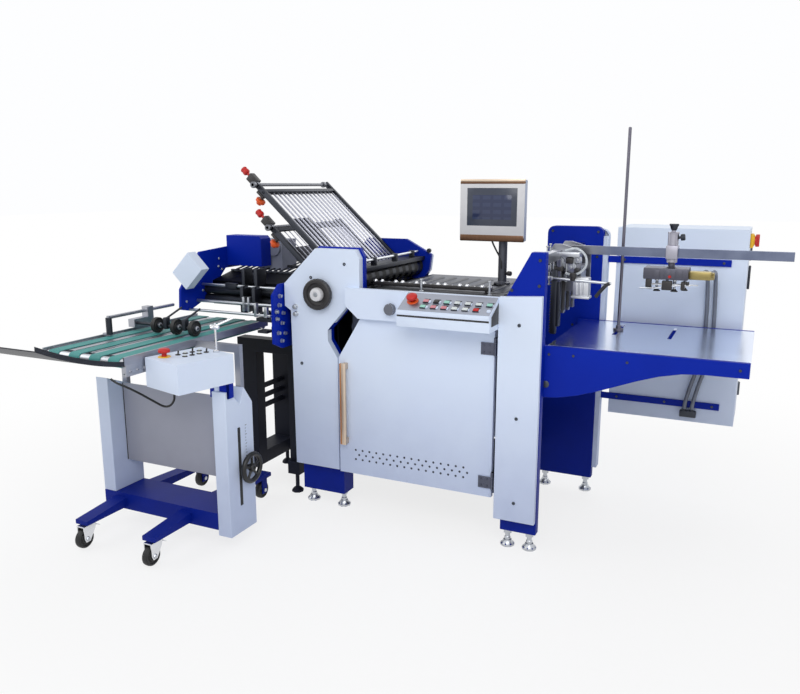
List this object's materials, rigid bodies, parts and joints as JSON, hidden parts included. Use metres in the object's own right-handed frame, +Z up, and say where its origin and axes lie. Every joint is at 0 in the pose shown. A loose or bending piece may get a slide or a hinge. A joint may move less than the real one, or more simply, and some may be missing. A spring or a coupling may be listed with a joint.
{
  "type": "paper folding machine",
  "caption": "Floor-standing buckle folding machine with a sheet feeder, a register table, slatted fold plates, a cross fold unit and a delivery conveyor on a trolley.",
  "frame": {"origin": "middle of the footprint, on the floor", "axes": "+X towards the feeder end, +Y towards the back, +Z up"},
  "size_m": [2.437, 2.1068, 1.574],
  "materials": {
    "blue_frame": "semi-gloss blue enamel",
    "white_panel": "satin white powder coat",
    "grey_part": "satin grey paint",
    "steel": "brushed",
    "chrome": "polished",
    "black_metal": "black",
    "rubber": "matt",
    "copper_strip": "copper anodised",
    "red_plastic": "gloss",
    "belt": "satin green belt",
    "hose": "grey hose"
  },
  "bodies": {
    "root": {"fold_frame_front": "blue_frame", "fold_frame_rear": "blue_frame", "feeder_post_front": "blue_frame", "feeder_post_rear": "blue_frame", "cross_plate_left": "blue_frame", "cross_plate_right": "blue_frame", "cross_hood": "blue_frame", "fold_cover_front": "white_panel", "fold_cover_rear": "white_panel", "upper_front_panel": "white_panel", "feeder_cover_front": "white_panel", "feeder_cover_rear": "white_panel", "cabinet_shell": "white_panel", "cross_box": "white_panel", "display_post": "grey_part", "cross_gearbox": "grey_part", "fold_plate_upper": "steel", "fold_plate_lower": "steel", "register_deck": "steel", "feed_head": "steel", "ball_rail": "black_metal", "cross_stand": "black_metal", "hose_pair": "hose"},
    "drive_roller": {"fold_roller_1": "steel", "handwheel": "black_metal"},
    "top_roller": {"fold_roller_2": "steel"},
    "low_roller": {"fold_roller_3": "steel"},
    "upper_adjuster": {"plate_knob_upper": "red_plastic"},
    "lower_adjuster": {"plate_knob_lower": "red_plastic"},
    "machine_stop": {"emergency_stop": "red_plastic"},
    "door": {"door": "white_panel", "door_handle": "copper_strip"},
    "display": {"display_case": "grey_part"},
    "suction_unit": {"suction_carriage": "grey_part", "suction_head": "steel"},
    "pile": {"pile_table": "steel", "pile_arm_front": "blue_frame", "pile_arm_rear": "blue_frame"},
    "rod": {"pile_rod": "steel"},
    "cabinet_door": {"cabinet_door": "white_panel"},
    "main_switch": {"power_switch": "red_plastic"},
    "cross_roller_upper": {"cross_roller_1": "steel"},
    "cross_roller_lower": {"cross_roller_2": "steel"},
    "trolley": {"trolley_base": "blue_frame", "column_left": "white_panel", "column_right": "white_panel", "modesty_panel": "grey_part", "delivery_box": "white_panel"},
    "conveyor": {"conveyor_bed": "grey_part", "belt_set": "belt", "catch_tray": "black_metal"},
    "press": {"press_wheels": "rubber"},
    "delivery_stop": {"delivery_stop": "red_plastic"},
    "lift_wheel": {"lift_handwheel": "black_metal"},
    "fork_left": {"caster_fork_left": "chrome"},
    "fork_right": {"caster_fork_right": "chrome"},
    "wheel_front_left": {"caster_wheel_1": "rubber"},
    "wheel_front_right": {"caster_wheel_2": "rubber"},
    "wheel_rear_left": {"caster_wheel_3": "rubber"},
    "wheel_rear_right": {"caster_wheel_4": "rubber"}
  },
  "joints": [
    {"name": "drive_roller_spin", "type": "hinge", "parent": "root", "child": "drive_roller", "pos_m": [-0.49081, 0.39685, 0.92809], "axis": [0, 1, 0], "continuous": true},
    {"name": "top_roller_spin", "type": "hinge", "parent": "root", "child": "top_roller", "pos_m": [-0.35519, 0.39685, 0.98791], "axis": [0, 1, 0], "continuous": true},
    {"name": "low_roller_spin", "type": "hinge", "parent": "root", "child": "low_roller", "pos_m": [-0.40981, 0.39685, 0.92809], "axis": [0, 1, 0], "continuous": true},
    {"name": "upper_adjuster_turn", "type": "hinge", "parent": "root", "child": "upper_adjuster", "pos_m": [-0.86272, 0.11715, 1.3965], "axis": [-0.7385, 0, 0.6743], "continuous": true},
    {"name": "lower_adjuster_turn", "type": "hinge", "parent": "root", "child": "lower_adjuster", "pos_m": [-0.79745, 0.11715, 1.2218], "axis": [-0.7385, 0, 0.6743], "continuous": true},
    {"name": "machine_stop_press", "type": "slide", "parent": "root", "child": "machine_stop", "axis": [0, 0.4629, -0.8864], "range_m": [0, 0.006], "stiffness_N_per_m": 900, "springref_m": -0.002},
    {"name": "door_hinge", "type": "hinge", "parent": "root", "child": "door", "pos_m": [0.2575, 0.04485, 0.5], "axis": [0, 0, 1], "range_deg": [0, 95]},
    {"name": "display_swivel", "type": "hinge", "parent": "root", "child": "display", "pos_m": [0.1415, 0.46685, 1.2], "axis": [0, 0, 1], "range_deg": [-60, 60]},
    {"name": "suction_slide", "type": "slide", "parent": "root", "child": "suction_unit", "axis": [1, 0, 0], "range_m": [-0.08, 0.25], "deforming": ["hose_pair"]},
    {"name": "pile_lift", "type": "slide", "parent": "root", "child": "pile", "axis": [0, 0, 1], "range_m": [-0.45, 0.15]},
    {"name": "rod_slide", "type": "slide", "parent": "pile", "child": "rod", "axis": [0, 1, 0], "range_m": [-0.08, 0.12]},
    {"name": "cabinet_door_hinge", "type": "hinge", "parent": "root", "child": "cabinet_door", "pos_m": [1.0665, 1.04445, 0.78], "axis": [0, 0, -1], "range_deg": [0, 100]},
    {"name": "main_switch_turn", "type": "hinge", "parent": "root", "child": "main_switch", "pos_m": [1.0795, 0.82685, 1.14], "axis": [1, 0, 0], "range_deg": [0, 90]},
    {"name": "cross_roller_spin", "type": "hinge", "parent": "root", "child": "cross_roller_upper", "pos_m": [-0.9005, 0.09685, 0.911], "axis": [1, 0, 0], "continuous": true},
    {"name": "cross_roller_lower_spin", "type": "hinge", "parent": "root", "child": "cross_roller_lower", "pos_m": [-0.9005, 0.09685, 0.868], "axis": [1, 0, 0], "continuous": true},
    {"name": "trolley_dock", "type": "slide", "parent": "root", "child": "trolley", "axis": [0, -1, 0], "range_m": [0, 0.5]},
    {"name": "conveyor_lift", "type": "slide", "parent": "trolley", "child": "conveyor", "axis": [0, 0, 1], "range_m": [-0.11, 0.035]},
    {"name": "lift_wheel_turn", "type": "hinge", "parent": "trolley", "child": "lift_wheel", "pos_m": [-0.5705, -0.34615, 0.309], "axis": [1, 0, 0], "range_deg": [-1322, 422]},
    {"name": "press_spin", "type": "hinge", "parent": "conveyor", "child": "press", "pos_m": [-1.0105, -0.28315, 0.812], "axis": [1, 0, 0], "continuous": true},
    {"name": "delivery_stop_press", "type": "slide", "parent": "trolley", "child": "delivery_stop", "axis": [0, 0, -1], "range_m": [0, 0.006], "stiffness_N_per_m": 900, "springref_m": -0.002},
    {"name": "fork_left_swivel", "type": "hinge", "parent": "trolley", "child": "fork_left", "pos_m": [-1.1355, -0.62915, 0.1], "axis": [0, 0, 1], "continuous": true},
    {"name": "wheel_front_left_spin", "type": "hinge", "parent": "fork_left", "child": "wheel_front_left", "pos_m": [-1.1355, -0.65515, 0.038], "axis": [1, 0, 0], "continuous": true},
    {"name": "wheel_rear_left_spin", "type": "hinge", "parent": "trolley", "child": "wheel_rear_left", "pos_m": [-1.1355, 0.03285, 0.038], "axis": [1, 0, 0], "continuous": true},
    {"name": "fork_right_swivel", "type": "hinge", "parent": "trolley", "child": "fork_right", "pos_m": [-0.8045, -0.62915, 0.1], "axis": [0, 0, 1], "continuous": true},
    {"name": "wheel_front_right_spin", "type": "hinge", "parent": "fork_right", "child": "wheel_front_right", "pos_m": [-0.8045, -0.65515, 0.038], "axis": [1, 0, 0], "continuous": true},
    {"name": "wheel_rear_right_spin", "type": "hinge", "parent": "trolley", "child": "wheel_rear_right", "pos_m": [-0.8045, 0.03285, 0.038], "axis": [1, 0, 0], "continuous": true}
  ],
  "couplings": [
    {"joint": "low_roller_spin", "follows": "drive_roller_spin", "ratio": -1},
    {"joint": "top_roller_spin", "follows": "drive_roller_spin", "ratio": 1},
    {"joint": "cross_roller_lower_spin", "follows": "cross_roller_spin", "ratio": -1},
    {"joint": "lift_wheel_turn", "follows": "conveyor_lift", "rad_per_m": 209.44}
  ]
}
